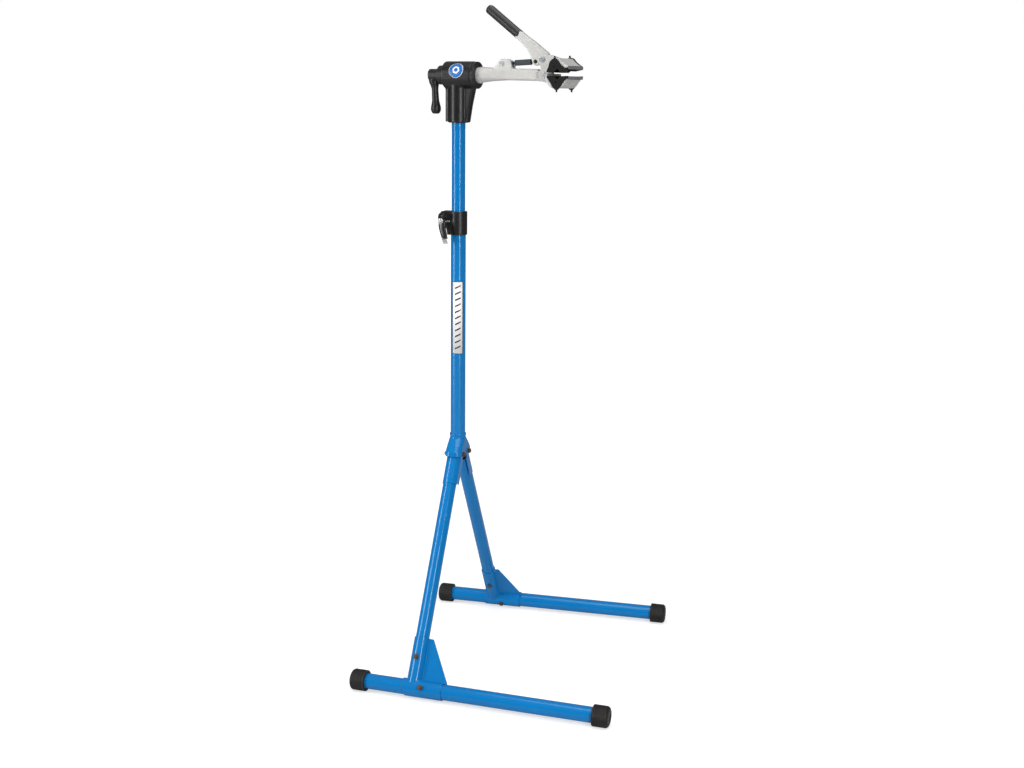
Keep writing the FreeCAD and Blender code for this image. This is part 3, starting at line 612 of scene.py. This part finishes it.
def post_film(name, lift, left, right, low, high, mat, slant=0.0):
    """Thin film wrapped on the post; slant raises it as it goes round."""
    side, other, steps = TOWARDS_FRONT, UP.cross(TOWARDS_FRONT), 24
    bm = bmesh.new()
    rows = []
    for step in range(steps + 1):
        share = step / steps
        turn = left + share * (right - left)
        out = side * math.cos(turn) + other * math.sin(turn)
        row = []
        for height in (low, high):
            centre = POST + UP * (height + slant * (share - 0.5))
            row += [bm.verts.new(centre + out * (POST_R + lift + thick)) for thick in (0.0, FILM)]
        rows.append(row)
    for first, second in zip(rows, rows[1:]):
        for a, b in ((0, 1), (1, 3), (3, 2), (2, 0)):
            bm.faces.new((first[a], first[b], second[b], second[a]))
    for row in (rows[0], rows[-1]):
        bm.faces.new((row[0], row[1], row[3], row[2]))
    finish_piece(closed_object(bm, name), mat, "post")


def post_label():
    """White band with a black edge and plain slanted bars."""
    left, right = LABEL_FACE - LABEL_HALF, LABEL_FACE + LABEL_HALF
    post_film("label_edge", EDGE_LIFT, left, right, LABEL_LOW, LABEL_HIGH, DECAL_BLACK)
    post_film("label_band", BAND_LIFT, left + LABEL_SIDE_BORDER, right - LABEL_SIDE_BORDER,
              LABEL_LOW + LABEL_BORDER, LABEL_HIGH - LABEL_BORDER, DECAL_WHITE)
    bar_left, bar_right = LABEL_FACE - 0.45 * LABEL_HALF, LABEL_FACE + 0.55 * LABEL_HALF
    for bar in range(BARS):
        height = LABEL_LOW + (bar + 1) * BAR_PITCH
        post_film("label_bar_%02d" % bar, BAR_LIFT, bar_left, bar_right, height,
                  height + BAR_HEIGHT, DECAL_BLACK, BAR_SLANT)


BARREL_R = 0.0282
EMBLEM_ALONG = 0.0072
EMBLEM_RAISE = 0.39              # how far the emblem's middle is turned up from level
EMBLEM_SINK = 0.0004


def circle(size):
    return [(size * math.cos(turn), size * math.sin(turn)) for turn in turns(72)]


def hexagon(size):
    """Six corners, with three points between each two."""
    corners = [math.radians(60 * step + 15) for step in range(6)]
    corners = [(size * math.cos(turn), size * math.sin(turn)) for turn in corners]
    points = []
    for (x, y), (next_x, next_y) in zip(corners, corners[1:] + corners[:1]):
        for share in (0.0, 0.25, 0.5, 0.75):
            points.append((x + share * (next_x - x), y + share * (next_y - y)))
    return points


def badge(name, outline, lift, mat):
    """Layer of the emblem, bent round the head's barrel, with a skirt into the casting."""
    centre = in_mast(EMBLEM_ALONG, 0, CLAMP_Z)
    axis = mast_direction(1, 0, 0)
    out = mast_direction(0, -1, EMBLEM_RAISE)
    other = axis.cross(out).normalized()
    bm = bmesh.new()

    def ring(share, radius):
        verts = []
        for x, y in outline:
            turn = y * share / BARREL_R
            spread = out * math.cos(turn) + other * math.sin(turn)
            verts.append(bm.verts.new(centre + axis * (x * share) + spread * radius))
        return verts

    rings = [ring(share, BARREL_R + lift) for share in (1.0, 0.8, 0.6, 0.4, 0.2)]
    skin(bm, rings)
    bm.faces.new(rings[-1])
    skin(bm, [rings[0], ring(1.0, BARREL_R - EMBLEM_SINK)])
    finish_piece(closed_object(bm, name), mat, "mast")


def barrel_emblem():
    """Round blue badge with a white rim and a plain white hexagon."""
    badge("emblem_rim", circle(0.0163), 0.0001, DECAL_WHITE)
    badge("emblem_disc", circle(0.0152), 0.0002, EMBLEM_BLUE)
    badge("emblem_hexagon", hexagon(0.0085), 0.0003, DECAL_WHITE)
    badge("emblem_hole", circle(0.0042), 0.0004, EMBLEM_BLUE)


# ---- floor, light, camera ------------------------------------------------------------------
# The floor and the world look whiter to the camera than they light the object
FLOOR_HALF = 40.0
GLOW_NEAR, GLOW_FAR = 0.6, 3.5
GLOW_NEAR_STRENGTH, GLOW_FAR_STRENGTH = 0.58, 1.0
SKY_LOW, SKY_HIGH = -0.1, 0.8
SKY_LOW_STRENGTH, SKY_HIGH_STRENGTH, SKY_SEEN_STRENGTH = 0.07, 0.36, 1.0
WHITE = (1.0, 1.0, 1.0, 1.0)
CAMERA_BEARING = math.atan2(-2.837, 0.962)   # the camera's direction, seen from the post
CAMERA_PLACE = (0.9587, -2.838, 1.227)       # from the post's foot
CAMERA_YAW, CAMERA_PITCH, CAMERA_ROLL = (math.radians(turn) for turn in (16.44, 11.74, 0.575))
LENS, SENSOR_WIDTH = 49.85, 36.0


def floor():
    bm = bmesh.new()
    corners = ((-1, -1), (1, -1), (1, 1), (-1, 1))
    bm.faces.new([bm.verts.new((x * FLOOR_HALF, y * FLOOR_HALF, 0.0)) for x, y in corners])
    obj = object_from(bm, "studio_floor")
    mat = material("studio floor", (0.62, 0.62, 0.62), 0.8, specular=0.1, tint=0.004,
                   tint_scale=0.8, rough_spread=0.03, bumps=((60.0, 0.02),))
    tree = mat.node_tree
    shader = tree.nodes["Principled BSDF"]
    shader.inputs["Emission Color"].default_value = WHITE
    place = tree.nodes.new("ShaderNodeTexCoord")
    away = tree.nodes.new("ShaderNodeVectorMath")
    away.operation = "LENGTH"
    tree.links.new(place.outputs["Object"], away.inputs[0])
    glow = map_range(tree, away.outputs["Value"], GLOW_NEAR, GLOW_FAR, GLOW_NEAR_STRENGTH,
                     GLOW_FAR_STRENGTH)
    path = tree.nodes.new("ShaderNodeLightPath")
    seen = tree.nodes.new("ShaderNodeMath")
    seen.operation = "MULTIPLY"
    tree.links.new(glow, seen.inputs[0])
    tree.links.new(path.outputs["Is Camera Ray"], seen.inputs[1])
    tree.links.new(seen.outputs["Value"], shader.inputs["Emission Strength"])
    obj.data.materials.append(mat)


def sky():
    """White world that lights the object more from above than from below."""
    world = bpy.data.worlds.new("studio")
    world.use_nodes = True
    tree = world.node_tree
    background = tree.nodes["Background"]
    background.inputs["Color"].default_value = WHITE
    where = tree.nodes.new("ShaderNodeTexCoord")
    split = tree.nodes.new("ShaderNodeSeparateXYZ")
    tree.links.new(where.outputs["Generated"], split.inputs["Vector"])
    light = map_range(tree, split.outputs["Z"], SKY_LOW, SKY_HIGH, SKY_LOW_STRENGTH,
                      SKY_HIGH_STRENGTH)
    path = tree.nodes.new("ShaderNodeLightPath")
    level = tree.nodes.new("ShaderNodeMix")
    level.data_type = "FLOAT"
    tree.links.new(path.outputs["Is Camera Ray"], level.inputs[0])
    tree.links.new(light, level.inputs[MIX_NUMBER_A])
    level.inputs[MIX_NUMBER_B].default_value = SKY_SEEN_STRENGTH
    tree.links.new(level.outputs[MIX_NUMBER_RESULT], background.inputs["Strength"])
    bpy.context.scene.world = world


def area_light(name, place, target, width, height, power):
    data = bpy.data.lights.new(name, "AREA")
    data.shape = "RECTANGLE"
    data.size = width
    data.size_y = height
    data.energy = power
    obj = bpy.data.objects.new(name, data)
    bpy.context.scene.collection.objects.link(obj)
    obj.location = place
    look = Vector(target) - Vector(place)
    obj.rotation_euler = look.to_track_quat("-Z", "Y").to_euler()


def around(view_turn, distance, height):
    """Place round the post, turned in degrees from the camera's direction."""
    bearing = CAMERA_BEARING + math.radians(view_turn)
    return (POST.x + distance * math.cos(bearing), distance * math.sin(bearing), height)


def lights():
    """Two tall strips, for the two highlights along each tube, and a soft box overhead."""
    middle = (POST.x + 0.05, 0.0, 1.0)
    area_light("left_strip", around(-70, 3.0, 1.35), middle, 0.56, 2.8, 64.0)
    area_light("right_strip", around(24, 3.6, 1.35), middle, 0.48, 2.8, 72.0)
    area_light("top_softbox", (0.3, -0.6, 3.6), (0.0, 0.0, 0.0), 2.4, 2.4, 55.0)


def photo_camera():
    right = Vector((math.cos(CAMERA_YAW), math.sin(CAMERA_YAW), 0))
    forward = Vector((-math.sin(CAMERA_YAW) * math.cos(CAMERA_PITCH),
                      math.cos(CAMERA_YAW) * math.cos(CAMERA_PITCH), -math.sin(CAMERA_PITCH)))
    down = forward.cross(right).normalized()
    rolled_right = right * math.cos(CAMERA_ROLL) - down * math.sin(CAMERA_ROLL)
    rolled_down = right * math.sin(CAMERA_ROLL) + down * math.cos(CAMERA_ROLL)
    data = bpy.data.cameras.new("camera")
    data.lens = LENS
    data.sensor_width = SENSOR_WIDTH
    camera = bpy.data.objects.new("camera", data)
    bpy.context.scene.collection.objects.link(camera)
    x, y, z = CAMERA_PLACE
    camera.matrix_world = Matrix((
        (rolled_right.x, -rolled_down.x, -forward.x, x + POST.x),
        (rolled_right.y, -rolled_down.y, -forward.y, y),
        (rolled_right.z, -rolled_down.z, -forward.z, z),
        (0, 0, 0, 1)))
    bpy.context.scene.camera = camera
    bpy.context.scene.view_settings.view_transform = "Standard"


tubes()
foot_caps()
castings_and_hardware()
grip()
threads("link_eye_threads", on_link(0.009), 0.0160)
threads("link_end_threads", on_link(0.0614), 0.0035)
lever_trim()
collar_stop()
pivot_domes()
toggle_clip()
jaw_lip_highlights()
post_label()
barrel_emblem()
floor()
sky()
lights()
photo_camera()
